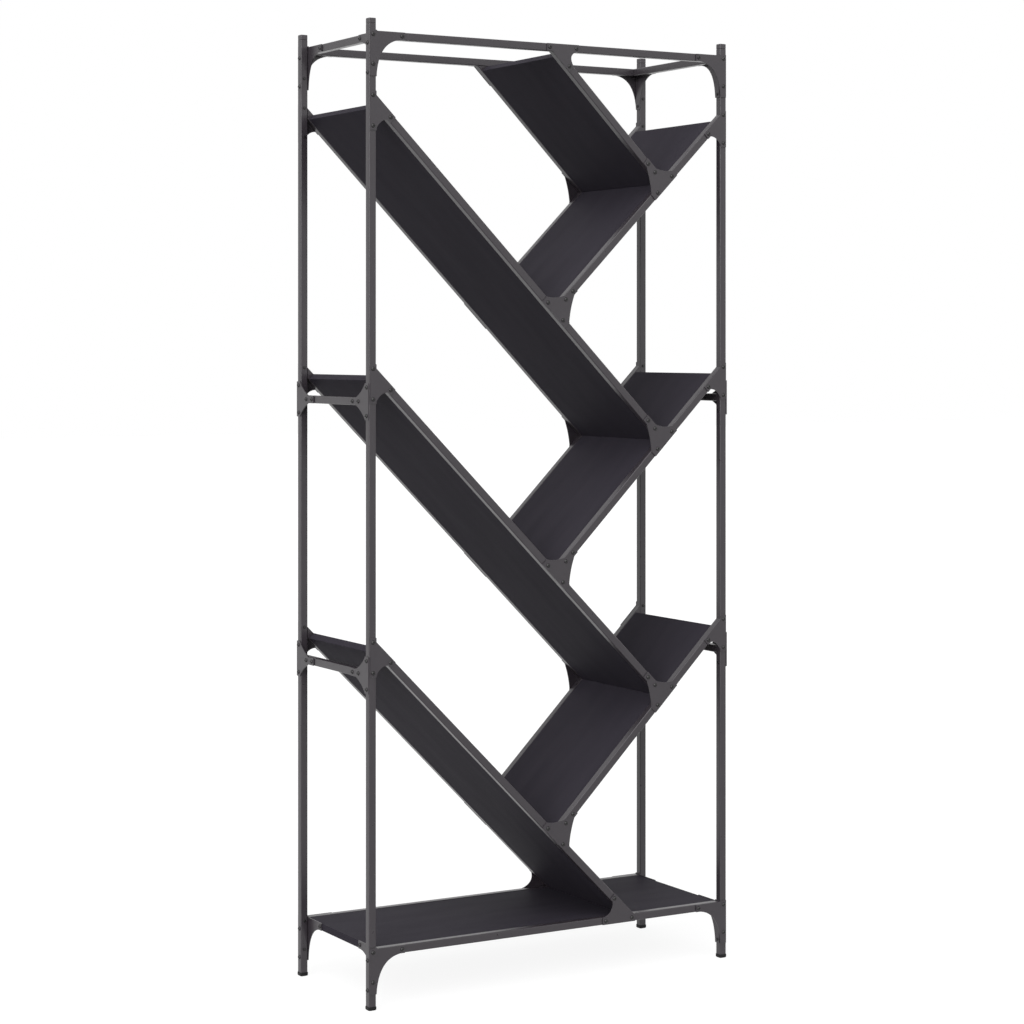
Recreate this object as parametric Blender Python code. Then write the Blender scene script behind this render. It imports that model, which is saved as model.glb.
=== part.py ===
"""Open bookcase with zigzag shelves in a frame of square steel tube.

Metres, +Z up. The origin lies on the floor under the middle of the bookcase,
+X runs to the right and +Y to the back. Four posts stand on plastic feet.
In the front and in the rear plane, four rails fall from left to right and
three rise from left to right. Each sloping board lies between a front and a
rear rail of the same slope, and one level board closes the bottom. Shaped
plates with round-headed bolts join the tubes on their outer faces, and the
corner plates of the two sides lie behind the posts. A plate at a post is one
piece with the rail that it holds, joined by that rail's bolts. Every other
plate is a piece of its own, one with its bolts.
"""
from math import tau

import bmesh
import bpy
from mathutils import Matrix, Vector

# Frame, over the faces of its posts
frame_width = 0.880
frame_depth = 0.336
frame_height = 2.010
tube = 0.016
wall = 0.0012
fit_gap = 0.0003
overrun = 0.001

# Centre lines of the level rails
top_rail_drop = 0.034
bottom_rail_height = 0.117
side_rail_drop = 0.064

# Levels where the sloping rails meet the posts, and their fall to the middle
level_count = 3
first_level_drop = 0.1255
last_level_rise = 0.6255
shelf_fall = 0.432

# Boards
board_thickness = 0.015
board_setback = 0.008
first_board_drop = 0.0055

# Feet and post caps
foot_height = 0.008
foot_floor = 0.003
foot_border = 0.001
foot_edge = 0.0012
cap_height = 0.002
cap_edge = 0.0008

# Bolts
bolt_width = 0.004
bolt_head = 0.009
bolt_head_height = 0.0028
bolt_tail = 0.005
bolt_end = 0.0022
board_bite = 0.025
bolt_sides = 6

# Plates in general
plate = 0.002
plate_inset = 0.0015
plate_step = 0.002
web_margin = 0.0015
web_steps = 5

# Corner plates of the top rails and the bottom rails
corner_arm = 0.081
corner_leg = 0.084
corner_web_arm = 0.070
corner_web_leg = 0.075
corner_web_share = 0.83
corner_rail_bolt = 0.0746
corner_bolt_rise = 0.001
corner_bolt_fall = 0.0595

# Plates where a sloping rail meets a post
end_rise = 0.012
end_fall = 0.068
end_arm = 0.065
end_web_arm = 0.037
end_web_leg = 0.044
end_web_share = 0.26
end_rail_bolt = 0.057
end_bolt_rise = 0.003
end_bolt_fall = 0.059

# Plates where one sloping rail ends on another
cross_stem = 0.070
cross_stem_bolt = 0.036
cross_tip_bolt = 0.061
cross_bar_bolt = 0.026
cross_low_stem = 0.058
cross_low_bar = 0.040
cross_low_share = 0.15
cross_high_stem = 0.040
cross_high_bar = 0.036
cross_high_share = 0.28

# Plate where the first falling rail hangs from the top rail
hang_left = 0.0175
hang_right = 0.0615
hang_left_bolt = 0.0105
hang_right_bolt = 0.0555
hang_stem = 0.062
hang_stem_bolt = 0.054
hang_web_bar = 0.0535
hang_web_stem = 0.059
hang_web_share = 0.5

# Plate where the last falling rail stands on the bottom rail
stand_left = 0.0755
stand_right = 0.0065
stand_left_bolt = 0.0675
stand_near_bolt = 0.0015
stand_stem = 0.072
stand_stem_bolt = 0.065
stand_web_bar = 0.0735
stand_web_stem = 0.0647
stand_web_share = 0.385

# Post bolts of the corner plates of the two sides, below the rail
side_bolt_drop = 0.016
side_bolt_fall = 0.0765

# Plates of the side rails below a level
tee_stem = 0.073
tee_stem_bolt = 0.037
tee_tip_bolt = 0.064
tee_bar_bolt = 0.029
tee_web_stem = 0.048
tee_web_bar = 0.036
tee_web_share = 0.28

# Places worked out from the sizes above
half_tube = tube / 2
post_x = (frame_width - tube) / 2
post_y = (frame_depth - tube) / 2
inner_x = post_x - half_tube
rail_end_x = inner_x - plate - 2 * fit_gap
top_z = frame_height - top_rail_drop
bottom_z = bottom_rail_height
first_level = top_z - first_level_drop
last_level = bottom_z + last_level_rise
pitch = (first_level - last_level) / (level_count - 1)
levels = [first_level - pitch * step for step in range(level_count)]
falling_levels = [first_level + pitch] + levels
side_levels = [level - side_rail_drop for level in levels[1:]]
board_top = bottom_z - half_tube + board_thickness

# How far a bolt reaches behind the face that its plate lies on
in_wall = wall + bolt_tail
through_tube = tube + bolt_end
in_board = tube + board_bite
bolt_radius = bolt_width / 2

# A flat drawing's own axes and its depth, laid in the world
front_view = Matrix(((1, 0, 0), (0, 0, 1), (0, 1, 0)))
side_view = Matrix(((0, 0, 1), (1, 0, 0), (0, 1, 0)))

right = Vector((1, 0))
up = Vector((0, 1))
falling = Vector((post_x, -shelf_fall)).normalized()
rising = Vector((post_x, shelf_fall)).normalized()

black_steel = ((0.012, 0.012, 0.013), 0.34, 0.6)
black_board = ((0.011, 0.0105, 0.011), 0.5, 0.0)
black_plastic = ((0.006, 0.006, 0.006), 0.55, 0.0)


def clear_scene():
    for thing in list(bpy.data.objects):
        bpy.data.objects.remove(thing, do_unlink=True)


# Lines in a flat drawing are a point and a direction
def side_of(direction):
    return Vector((-direction.y, direction.x))


def offset(line, distance):
    point, direction = line
    return point + side_of(direction) * distance, direction


def crossing(line, other):
    point, direction = line
    target, heading = other
    along = (target - point).cross(heading) / direction.cross(heading)
    return point + direction * along


def level_line(height):
    return Vector((0, height)), right


def upright_line(place):
    return Vector((place, 0)), up


def falling_line(level):
    return Vector((-post_x, level)), falling


def rising_line(level):
    return Vector((post_x, level)), rising


def square_cut(line, point):
    return point, side_of(line[1])


def strip(line, half, start, end):
    """Corners of a bar along a line: start and end, first above, then below."""
    upper = offset(line, half)
    lower = offset(line, -half)
    return [(crossing(upper, cut), crossing(lower, cut)) for cut in (start, end)]


def web(start, end, corner, share):
    """Hollow edge of a plate, drawn from the straight line towards the corner."""
    pull = start.lerp(end, 0.5).lerp(corner, share)
    shares = [step / web_steps for step in range(web_steps + 1)]
    return [start.lerp(pull, share).lerp(pull.lerp(end, share), share) for share in shares]


# Meshes
def make_material(name, look):
    colour, roughness, metallic = look
    material = bpy.data.materials.new(name)
    material.use_nodes = True
    shader = material.node_tree.nodes["Principled BSDF"]
    shader.inputs["Base Color"].default_value = (*colour, 1)
    shader.inputs["Roughness"].default_value = roughness
    shader.inputs["Metallic"].default_value = metallic
    return material


def finish_piece(name, bm, look, drills=()):
    """Make the object, with its origin in its middle, and drill its bolt holes."""
    bmesh.ops.recalc_face_normals(bm, faces=bm.faces)
    low = Vector(min(vertex.co[axis] for vertex in bm.verts) for axis in range(3))
    high = Vector(max(vertex.co[axis] for vertex in bm.verts) for axis in range(3))
    middle = (low + high) / 2
    bmesh.ops.translate(bm, verts=bm.verts, vec=-middle)
    mesh = bpy.data.meshes.new(name)
    bm.to_mesh(mesh)
    bm.free()
    piece = bpy.data.objects.new(name, mesh)
    bpy.context.scene.collection.objects.link(piece)
    piece.location = middle
    piece.parent = bookcase
    mesh.materials.append(make_material(name, look))
    for drill in drills:
        cut = piece.modifiers.new(drill.name, "BOOLEAN")
        cut.object = drill
        cut.operation = "DIFFERENCE"
        cut.solver = "EXACT"
    return piece


def join_rings(bm, rings):
    for ring, other in zip(rings, rings[1:]):
        count = len(ring)
        for spot in range(count):
            following = (spot + 1) % count
            bm.faces.new((ring[spot], ring[following], other[following], other[spot]))


def bar_ring(bm, view, ends, middle, half):
    """Square ring of vertices through two points of a drawing, half deep each way."""
    upper, lower = ends
    places = ((upper, -half), (upper, half), (lower, half), (lower, -half))
    return [bm.verts.new(view @ Vector((*point, middle + side))) for point, side in places]


def square_ring(bm, x, y, half, height):
    turns = ((-half, -half), (half, -half), (half, half), (-half, half))
    return [bm.verts.new((x + across, y + along, height)) for across, along in turns]


def add_tube(bm, view, line, start, end, middle):
    outer = strip(line, half_tube, start, end)
    inner = strip(line, half_tube - wall, start, end)
    shell = [bar_ring(bm, view, ends, middle, half_tube) for ends in outer]
    bore = [bar_ring(bm, view, ends, middle, half_tube - wall) for ends in reversed(inner)]
    join_rings(bm, shell + bore + shell[:1])


def polygon_ring(bm, view, point, radius, sides, depth):
    ring = []
    for corner in range(sides):
        turn = Matrix.Rotation(tau * (corner + 0.5) / sides, 2)
        place = point + turn @ (right * radius)
        ring.append(bm.verts.new(view @ Vector((*place, depth))))
    return ring


def fill_between(bm, rings):
    """Flat face within the first ring, with a hole at each of the others."""
    edges = []
    for ring in rings:
        for pair in zip(ring, ring[1:] + ring[:1]):
            edges.append(bm.edges.get(pair) or bm.edges.new(pair))
    bmesh.ops.triangle_fill(bm, edges=edges, use_beauty=True)


def add_stack(bm, view, point, steps):
    """Six-sided rings round a point, closed at the first. Returns the last ring."""
    rings = [polygon_ring(bm, view, point, radius, bolt_sides, depth) for radius, depth in steps]
    join_rings(bm, rings)
    bm.faces.new(rings[0])
    return rings[-1]


def add_fitting(bm, view, drawing, face, outward):
    """Flat plate on an outer face of the frame, one with its bolts.

    outward is 1 or -1 along the view's depth. Each bolt has its head on the
    plate and its shank behind it.
    """
    outline, post_bolts, rail_bolts = drawing
    back = face + outward * fit_gap
    front = back + outward * plate
    head = ((bolt_head / 2, front + outward * bolt_head_height), (bolt_head / 2, front))
    front_rings = [[bm.verts.new(view @ Vector((*point, front))) for point in outline]]
    back_rings = [[bm.verts.new(view @ Vector((*point, back))) for point in outline]]
    join_rings(bm, front_rings + back_rings)
    for point, reach in post_bolts + rail_bolts:
        shank = ((bolt_radius, face - outward * reach), (bolt_radius, back))
        front_rings.append(add_stack(bm, view, point, head))
        back_rings.append(add_stack(bm, view, point, shank))
    fill_between(bm, front_rings)
    fill_between(bm, back_rings)


def add_inner_fitting(bm, view, drawing, face, outward):
    """Flat plate behind the posts, on their inner face, one with its bolts.

    The post bolts have their heads on the posts' outer face, and the rail bolt
    has its head on the plate.
    """
    outline, post_bolts, rail_bolts = drawing
    front = face - outward * fit_gap
    back = front - outward * plate
    seat = face + outward * (tube + fit_gap)
    top = seat + outward * bolt_head_height
    post_head = ((bolt_head / 2, top), (bolt_head / 2, seat), (bolt_radius, seat), (bolt_radius, front))
    rail_head = ((bolt_head / 2, front + outward * bolt_head_height), (bolt_head / 2, front))
    front_rings = [[bm.verts.new(view @ Vector((*point, front))) for point in outline]]
    back_rings = [[bm.verts.new(view @ Vector((*point, back))) for point in outline]]
    join_rings(bm, front_rings + back_rings)
    for bolts, head in ((post_bolts, post_head), (rail_bolts, rail_head)):
        for point, reach in bolts:
            shank = ((bolt_radius, back - outward * reach), (bolt_radius, back))
            front_rings.append(add_stack(bm, view, point, head))
            back_rings.append(add_stack(bm, view, point, shank))
    fill_between(bm, front_rings)
    fill_between(bm, back_rings)


def make_helper(name, bm):
    """Hidden shape that cuts or completes other pieces."""
    bmesh.ops.recalc_face_normals(bm, faces=bm.faces)
    mesh = bpy.data.meshes.new(name)
    bm.to_mesh(mesh)
    bm.free()
    helper = bpy.data.objects.new(name, mesh)
    bpy.context.scene.collection.objects.link(helper)
    helper.hide_render = True
    helper.display_type = "WIRE"
    return helper


def make_drill(name, view, bolts, face, outward):
    """Cutter with one square hole for each bolt."""
    bm = bmesh.new()
    radius = (bolt_width + 2 * fit_gap) / 2 ** 0.5
    outside = face + outward * overrun
    for point, reach in bolts:
        inside = face - outward * (reach + fit_gap)
        rings = [polygon_ring(bm, view, point, radius, 4, depth) for depth in (outside, inside)]
        join_rings(bm, rings)
        for ring in rings:
            bm.faces.new(ring)
    return make_helper(name, bm)


# A plate's drawing is its outline, its bolts in a post and its bolts in rails,
# and a bolt is a point and a reach
def mirrored(drawing):
    outline, post_bolts, rail_bolts = drawing
    flip = Vector((-1, 1))
    turned = [[(point * flip, reach) for point, reach in bolts] for bolts in (post_bolts, rail_bolts)]
    return [point * flip for point in outline], *turned


def both_hands(drawing):
    return [drawing, mirrored(drawing)]


def corner_plate(width, rail_z, post_bolts, rail_reach):
    """post_bolts gives each bolt's height over the rail's centre line and its reach."""
    outer = -width / 2
    inner = outer + tube
    upper = rail_z + half_tube
    lower = rail_z - half_tube
    arc_start = Vector((outer + corner_web_arm, lower))
    arc_end = Vector((inner, lower - corner_web_leg))
    outline = [
        Vector((outer + plate_inset, rail_z - corner_leg)),
        Vector((outer + plate_inset, upper + plate_step)),
        Vector((inner, upper + plate_step)),
        Vector((inner + plate_step, upper)),
        Vector((outer + corner_arm, upper)),
        Vector((outer + corner_arm, lower)),
        *web(arc_start, arc_end, Vector((inner, lower)), corner_web_share),
        Vector((inner, rail_z - corner_leg)),
    ]
    posts = [(Vector((outer + half_tube, rail_z + rise)), reach) for rise, reach in post_bolts]
    return outline, posts, [(Vector((outer + corner_rail_bolt, rail_z)), rail_reach)]


def front_corner_plate(rail_z, high_reach, rail_reach):
    post_bolts = ((corner_bolt_rise, high_reach), (-corner_bolt_fall, through_tube))
    return corner_plate(frame_width, rail_z, post_bolts, rail_reach)


def side_corner_plate(rail_z, rail_reach):
    post_bolts = ((-side_bolt_drop, bolt_end), (-side_bolt_fall, bolt_end))
    return corner_plate(frame_depth, rail_z, post_bolts, rail_reach)


def shelf_end_plate(level, low_reach):
    line = falling_line(level)
    outer = -frame_width / 2
    inner = outer + tube
    rise = side_of(falling) * half_tube
    inner_edge = upright_line(inner)
    shoulder = crossing(offset(line, half_tube), inner_edge)
    corner = crossing(offset(line, -half_tube), inner_edge)
    tip = line[0] + falling * end_arm
    outline = [
        Vector((outer + plate_inset, level - end_fall)),
        Vector((outer + plate_inset, level + end_rise)),
        Vector((inner, level + end_rise)),
        shoulder,
        tip + rise,
        tip - rise,
        *web(corner + falling * end_web_arm, corner - up * end_web_leg, corner, end_web_share),
        Vector((inner, level - end_fall)),
    ]
    post_bolts = [
        (Vector((-post_x, level + end_bolt_rise)), through_tube),
        (Vector((-post_x, level - end_bolt_fall)), low_reach),
    ]
    return outline, post_bolts, [(line[0] + falling * end_rail_bolt, in_board)]


def towards(direction, aim):
    return direction if direction.dot(aim) > 0 else -direction


def tee_outline(node, bar, stem, stem_length, low, high):
    """Plate on a bar that runs through a node, with a stem that ends on the bar.

    bar points to the low side. low and high give each hollow edge: how far it
    runs along the stem and along the bar, and how deep it is drawn in.
    """
    near = towards(side_of(bar), stem) * half_tube
    beside = towards(side_of(stem), bar) * half_tube
    low_stem, low_bar, low_share = low
    high_stem, high_bar, high_share = high
    low_end = node + bar * (low_bar + web_margin)
    high_end = node - bar * (high_bar + web_margin)
    tip = node + stem * stem_length
    low_corner = crossing((node + near, bar), (node + beside, stem))
    high_corner = crossing((node + near, bar), (node - beside, stem))
    low_start = node + bar * low_bar + near
    low_stop = node + stem * low_stem + beside
    high_start = node + stem * high_stem - beside
    high_stop = node - bar * high_bar + near
    return [
        low_end - near,
        low_end + near,
        *web(low_start, low_stop, low_corner, low_share),
        tip + beside,
        tip - beside,
        *web(high_start, high_stop, high_corner, high_share),
        high_end + near,
        high_end - near,
    ]


def crossing_plate(node, bar, stem):
    low = (cross_low_stem, cross_low_bar, cross_low_share)
    high = (cross_high_stem, cross_high_bar, cross_high_share)
    bolts = [
        (node + stem * cross_stem_bolt, in_board),
        (node + stem * cross_tip_bolt, in_wall),
        (node + bar * cross_bar_bolt, in_wall),
        (node - bar * cross_bar_bolt, in_wall),
    ]
    return tee_outline(node, bar, stem, cross_stem, low, high), [], bolts


def hanging_plate():
    line = falling_line(falling_levels[0])
    node = crossing(line, level_line(top_z))
    rise = side_of(falling) * half_tube
    under = level_line(top_z - half_tube)
    arc_start = node + right * hang_web_bar - up * half_tube
    arc_end = node + falling * hang_web_stem + rise
    arc_corner = crossing(offset(line, half_tube), under)
    outline = [
        node - right * hang_left - up * half_tube,
        node - right * hang_left + up * half_tube,
        node + right * hang_right + up * half_tube,
        node + right * hang_right - up * half_tube,
        *web(arc_start, arc_end, arc_corner, hang_web_share),
        node + falling * hang_stem + rise,
        node + falling * hang_stem - rise,
        crossing(offset(line, -half_tube), under),
    ]
    bolts = [
        (node - right * hang_left_bolt, in_wall),
        (node + right * hang_right_bolt, in_wall),
        (node + falling * hang_stem_bolt, in_board),
    ]
    return outline, [], bolts


def standing_plate():
    line = falling_line(levels[-1])
    node = crossing(line, level_line(bottom_z))
    rise = side_of(falling) * half_tube
    over = level_line(bottom_z + half_tube)
    arc_start = node - right * stand_web_bar + up * half_tube
    arc_end = node - falling * stand_web_stem - rise
    arc_corner = crossing(offset(line, -half_tube), over)
    outline = [
        node - right * stand_left - up * half_tube,
        node - right * stand_left + up * half_tube,
        *web(arc_start, arc_end, arc_corner, stand_web_share),
        node - falling * stand_stem - rise,
        node - falling * stand_stem + rise,
        crossing(offset(line, half_tube), over),
        node + right * stand_right + up * half_tube,
        node + right * stand_right - up * half_tube,
    ]
    bolts = [
        (node - right * stand_left_bolt, in_wall),
        (node - right * stand_near_bolt, in_wall),
        (node - falling * stand_stem_bolt, in_board),
    ]
    return outline, [], bolts


def side_tee_plate(height):
    node = Vector((-post_y, height))
    edge = (tee_web_stem, tee_web_bar, tee_web_share)
    post_bolts = [
        (node + up * tee_bar_bolt, through_tube),
        (node - up * tee_bar_bolt, through_tube),
    ]
    rail_bolts = [
        (node + right * tee_stem_bolt, in_wall),
        (node + right * tee_tip_bolt, in_wall),
    ]
    return tee_outline(node, -up, right, tee_stem, edge, edge), post_bolts, rail_bolts


def front_rail_plates():
    """Plates at the posts in the front and the rear plane, by the rail that they hold."""
    plates = {
        "top_rail": both_hands(front_corner_plate(top_z, in_wall, in_wall)),
        "bottom_rail": both_hands(front_corner_plate(bottom_z, through_tube, in_board)),
    }
    for number, level in enumerate(levels, 1):
        meets_side_rail = level - side_rail_drop in side_levels
        low_reach = in_wall if meets_side_rail else through_tube
        drawing = shelf_end_plate(level, low_reach)
        plates[f"falling_rail_{number + 1}"] = [drawing]
        plates[f"rising_rail_{number}"] = [mirrored(drawing)]
    return plates


def joint_plates():
    """Plates between two rails in the front and the rear plane, by their own name."""
    plates = {"top_joint_plate": hanging_plate(), "bottom_joint_plate": standing_plate()}
    for number, (level, lower) in enumerate(zip(falling_levels, levels), 1):
        node = crossing(falling_line(level), rising_line(lower))
        plates[f"right_crossing_plate_{number}"] = crossing_plate(node, -rising, -falling)
    for number, level in enumerate(levels, 1):
        node = crossing(falling_line(level), rising_line(level))
        plates[f"middle_crossing_plate_{number}"] = crossing_plate(node, falling, rising)
    return plates


def post_bolts_of(drawings):
    return [bolt for outline, post_bolts, rail_bolts in drawings for bolt in post_bolts]


def rail_bolts_of(drawings):
    return [bolt for outline, post_bolts, rail_bolts in drawings for bolt in rail_bolts]


def all_drawings(plates):
    return [drawing for drawings in plates.values() for drawing in drawings]


def fittings(view, drawings, face, outward, add=add_fitting):
    bm = bmesh.new()
    for drawing in drawings:
        add(bm, view, drawing, face, outward)
    return bm


def rail_piece(name, view, line, ends, middle, drills=(), plates=None):
    """Rail between two cuts, one with the plates that hold it at the posts."""
    bm = bmesh.new()
    add_tube(bm, view, line, *ends, middle)
    rail = finish_piece(name, bm, black_steel, drills)
    if plates:
        join = rail.modifiers.new("plates", "BOOLEAN")
        join.object = make_helper(f"{name}_plates", plates)
        join.operation = "UNION"
        join.solver = "EXACT"


def make_post(name, x, y, drills):
    """Square tube, open below and closed by its plug at the top."""
    bm = bmesh.new()
    low = foot_floor + fit_gap
    bore = half_tube - wall
    rings = [
        square_ring(bm, x, y, bore, frame_height - cap_height),
        square_ring(bm, x, y, bore, low),
        square_ring(bm, x, y, half_tube, low),
        square_ring(bm, x, y, half_tube, frame_height - cap_edge),
        square_ring(bm, x, y, half_tube - cap_edge, frame_height),
    ]
    join_rings(bm, rings)
    bm.faces.new(rings[0])
    bm.faces.new(rings[-1])
    finish_piece(name, bm, black_steel, drills)


def make_foot(name, x, y):
    """Plastic cup under a post, with its lower edge taken off."""
    bm = bmesh.new()
    outer = half_tube + foot_border
    pocket = half_tube + fit_gap
    rings = [
        square_ring(bm, x, y, outer - foot_edge, 0),
        square_ring(bm, x, y, outer, foot_edge),
        square_ring(bm, x, y, outer, foot_height),
        square_ring(bm, x, y, pocket, foot_height),
        square_ring(bm, x, y, pocket, foot_floor),
    ]
    join_rings(bm, rings)
    bm.faces.new(rings[0])
    bm.faces.new(rings[-1])
    finish_piece(name, bm, black_plastic)


def make_posts(drills):
    for end, y in (("front", -post_y), ("rear", post_y)):
        for hand, x in (("left", -post_x), ("right", post_x)):
            make_post(f"post_{end}_{hand}", x, y, (drills[end], drills[hand]))
            make_foot(f"foot_{end}_{hand}", x, y)


def make_side_rails(corners, tees):
    ends = [upright_line(side * (post_y - half_tube - fit_gap)) for side in (-1, 1)]
    for hand, outward in (("left", -1), ("right", 1)):
        plates = fittings(side_view, corners, outward * inner_x, outward, add_inner_fitting)
        middle = outward * (rail_end_x - half_tube)
        rail_piece(f"side_rail_top_{hand}", side_view, level_line(top_z), ends, middle, (), plates)
        for place, height in zip(("upper", "lower"), side_levels):
            plates = fittings(side_view, tees[height], outward * frame_width / 2, outward)
            name = f"side_rail_{place}_{hand}"
            rail_piece(name, side_view, level_line(height), ends, outward * post_x, (), plates)


def front_rails():
    """Name, centre line and two end cuts of each rail in the front and the rear plane."""
    left_post = upright_line(-inner_x + fit_gap)
    right_post = upright_line(inner_x - fit_gap)
    butt = half_tube + fit_gap
    starts = [level_line(top_z - butt)] + [left_post] * level_count
    ends = [offset(rising_line(level), butt) for level in levels] + [level_line(bottom_z + butt)]
    level_ends = upright_line(-rail_end_x), upright_line(rail_end_x)
    rails = [
        ("top_rail", level_line(top_z), *level_ends),
        ("bottom_rail", level_line(bottom_z), *level_ends),
    ]
    for number, (level, start, end) in enumerate(zip(falling_levels, starts, ends), 1):
        rails.append((f"falling_rail_{number}", falling_line(level), start, end))
    for number, level in enumerate(levels, 1):
        start = offset(falling_line(level), butt)
        rails.append((f"rising_rail_{number}", rising_line(level), start, right_post))
    return rails


def make_front_rails(plates, joints, drills):
    for end, y, outward in (("front", -post_y, -1), ("rear", post_y, 1)):
        face = y + outward * half_tube
        drill = (drills[f"{end}_joints"],)
        for name, line, *ends in front_rails():
            held = name in plates and fittings(front_view, plates[name], face, outward)
            rail_piece(f"{name}_{end}", front_view, line, ends, y, drill, held)
        for name, drawing in joints.items():
            plate = fittings(front_view, [drawing], face, outward)
            finish_piece(f"{name}_{end}", plate, black_steel)


def board_piece(name, line, start, end, drills):
    bm = bmesh.new()
    half_depth = post_y - half_tube - fit_gap
    ends = strip(line, board_thickness / 2, start, end)
    rings = [bar_ring(bm, front_view, pair, 0, half_depth) for pair in ends]
    join_rings(bm, rings)
    for ring in rings:
        bm.faces.new(ring)
    finish_piece(name, bm, black_board, drills)


def make_boards(drills):
    cuts = [drills[name] for name in ("front_joints", "rear_joints", "front_boards", "rear_boards")]
    bottom_cuts = cuts + [drills["left_boards"], drills["right_boards"]]
    butt = board_thickness / 2 + fit_gap
    left_end = upright_line(-inner_x + board_setback)
    right_end = upright_line(inner_x - board_setback)
    under_top_rail = level_line(top_z - half_tube - first_board_drop)
    limits = [under_top_rail] + [left_end] * level_count
    on_bottom_board = level_line(board_top + fit_gap)
    ends = [offset(rising_line(level), butt) for level in levels] + [on_bottom_board]
    for number, (level, limit, end) in enumerate(zip(falling_levels, limits, ends), 1):
        line = falling_line(level)
        start = square_cut(line, crossing(line, limit))
        board_piece(f"falling_board_{number}", line, start, end, cuts)
    for number, level in enumerate(levels, 1):
        line = rising_line(level)
        start = offset(falling_line(level), butt)
        end = square_cut(line, crossing(line, right_end))
        board_piece(f"rising_board_{number}", line, start, end, cuts)
    middle = level_line(board_top - board_thickness / 2)
    ends = upright_line(-rail_end_x), upright_line(rail_end_x)
    board_piece("bottom_board", middle, *ends, bottom_cuts)


def make_side_leg_plates(drawings):
    for hand, outward in (("left", -1), ("right", 1)):
        for end, drawing in zip(("front", "rear"), drawings):
            plate = fittings(side_view, [drawing], outward * inner_x, outward, add_inner_fitting)
            finish_piece(f"side_leg_plate_{end}_{hand}", plate, black_steel)


def through_post(bolts):
    return [(point, through_tube) for point, reach in bolts]


def make_drills(ends, joints, side_posts, side_boards):
    """Cutters for the bolt holes, named after the plane and what they go through."""
    post_bolts = post_bolts_of(all_drawings(ends))
    board_bolts = rail_bolts_of(all_drawings(ends))
    joint_bolts = rail_bolts_of(joints.values())
    drills = {}
    for end, face, outward in (("front", -frame_depth / 2, -1), ("rear", frame_depth / 2, 1)):
        for name, bolts in (("", post_bolts), ("_boards", board_bolts), ("_joints", joint_bolts)):
            key = end + name
            drills[key] = make_drill(f"{key}_drill", front_view, bolts, face, outward)
    for hand, outward in (("left", -1), ("right", 1)):
        for name, bolts, depth in (("", side_posts, frame_width / 2), ("_boards", side_boards, rail_end_x)):
            key = hand + name
            drills[key] = make_drill(f"{key}_drill", side_view, bolts, outward * depth, outward)
    return drills


clear_scene()
bookcase = bpy.data.objects.new("bookcase", None)
bpy.context.scene.collection.objects.link(bookcase)
end_drawings = front_rail_plates()
joint_drawings = joint_plates()
side_tees = {height: both_hands(side_tee_plate(height)) for height in side_levels}
side_tops = both_hands(side_corner_plate(top_z, in_wall))
side_legs = both_hands(side_corner_plate(bottom_z, board_bite))
side_post_bolts = through_post(post_bolts_of(all_drawings(side_tees) + side_tops + side_legs))
drill_set = make_drills(end_drawings, joint_drawings, side_post_bolts, rail_bolts_of(side_legs))
make_posts(drill_set)
make_side_rails(side_tops, side_tees)
make_front_rails(end_drawings, joint_drawings, drill_set)
make_boards(drill_set)
make_side_leg_plates(side_legs)
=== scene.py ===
"""Looks of an open bookcase with zigzag shelves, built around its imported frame.

Metres, +Z up, in the frame's own axes. The tubes, boards, plates, feet and
post caps are drawn again with rounded edges, and the bolts with domed heads.
A flat drawing lies in the front or in the side view, as in the part's source.
"""
from math import cos, pi, radians, tau

import bmesh
import bpy
from mathutils import Matrix, Vector


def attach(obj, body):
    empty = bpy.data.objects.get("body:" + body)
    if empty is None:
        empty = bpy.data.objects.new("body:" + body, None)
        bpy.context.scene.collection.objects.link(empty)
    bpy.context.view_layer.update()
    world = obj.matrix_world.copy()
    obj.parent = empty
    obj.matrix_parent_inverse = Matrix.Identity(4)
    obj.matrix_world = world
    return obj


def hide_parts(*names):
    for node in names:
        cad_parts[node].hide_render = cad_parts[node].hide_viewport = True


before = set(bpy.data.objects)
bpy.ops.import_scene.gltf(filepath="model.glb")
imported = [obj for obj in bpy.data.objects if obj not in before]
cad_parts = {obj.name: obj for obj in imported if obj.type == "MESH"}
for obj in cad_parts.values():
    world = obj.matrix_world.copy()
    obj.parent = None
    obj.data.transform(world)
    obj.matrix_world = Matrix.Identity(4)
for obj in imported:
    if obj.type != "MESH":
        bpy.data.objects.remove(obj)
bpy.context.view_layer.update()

# Frame, over the faces of its posts
frame_width = 0.880
frame_depth = 0.336
frame_height = 2.010
tube = 0.016
wall = 0.0012
fit_gap = 0.0003

# Centre lines of the level rails
top_rail_drop = 0.034
bottom_rail_height = 0.117
side_rail_drop = 0.064

# Levels where the sloping rails meet the posts, and their fall to the middle
level_count = 3
first_level_drop = 0.1255
last_level_rise = 0.6255
shelf_fall = 0.432

# Boards
board_thickness = 0.015
board_setback = 0.008
first_board_drop = 0.0055

# Underside of a post over the floor
foot_floor = 0.003

# Bolts, behind what they go through
bolt_tail = 0.005
bolt_end = 0.0022
board_bite = 0.025

# Plates in general
plate = 0.002
plate_inset = 0.0015
plate_step = 0.002
web_margin = 0.0015
web_steps = 12
middle_share = 0.5

# Corner plates of the top rails and the bottom rails
corner_arm = 0.081
corner_leg = 0.084
corner_web_arm = 0.070
corner_web_leg = 0.075
corner_web_share = 0.83
corner_rail_bolt = 0.0746
corner_bolt_rise = 0.001
corner_bolt_fall = 0.0595

# Plates where a sloping rail meets a post
end_rise = 0.012
end_fall = 0.068
end_arm = 0.065
end_web_arm = 0.037
end_web_leg = 0.044
end_web_share = 0.26
end_rail_bolt = 0.057
end_bolt_rise = 0.003
end_bolt_fall = 0.059

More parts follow.
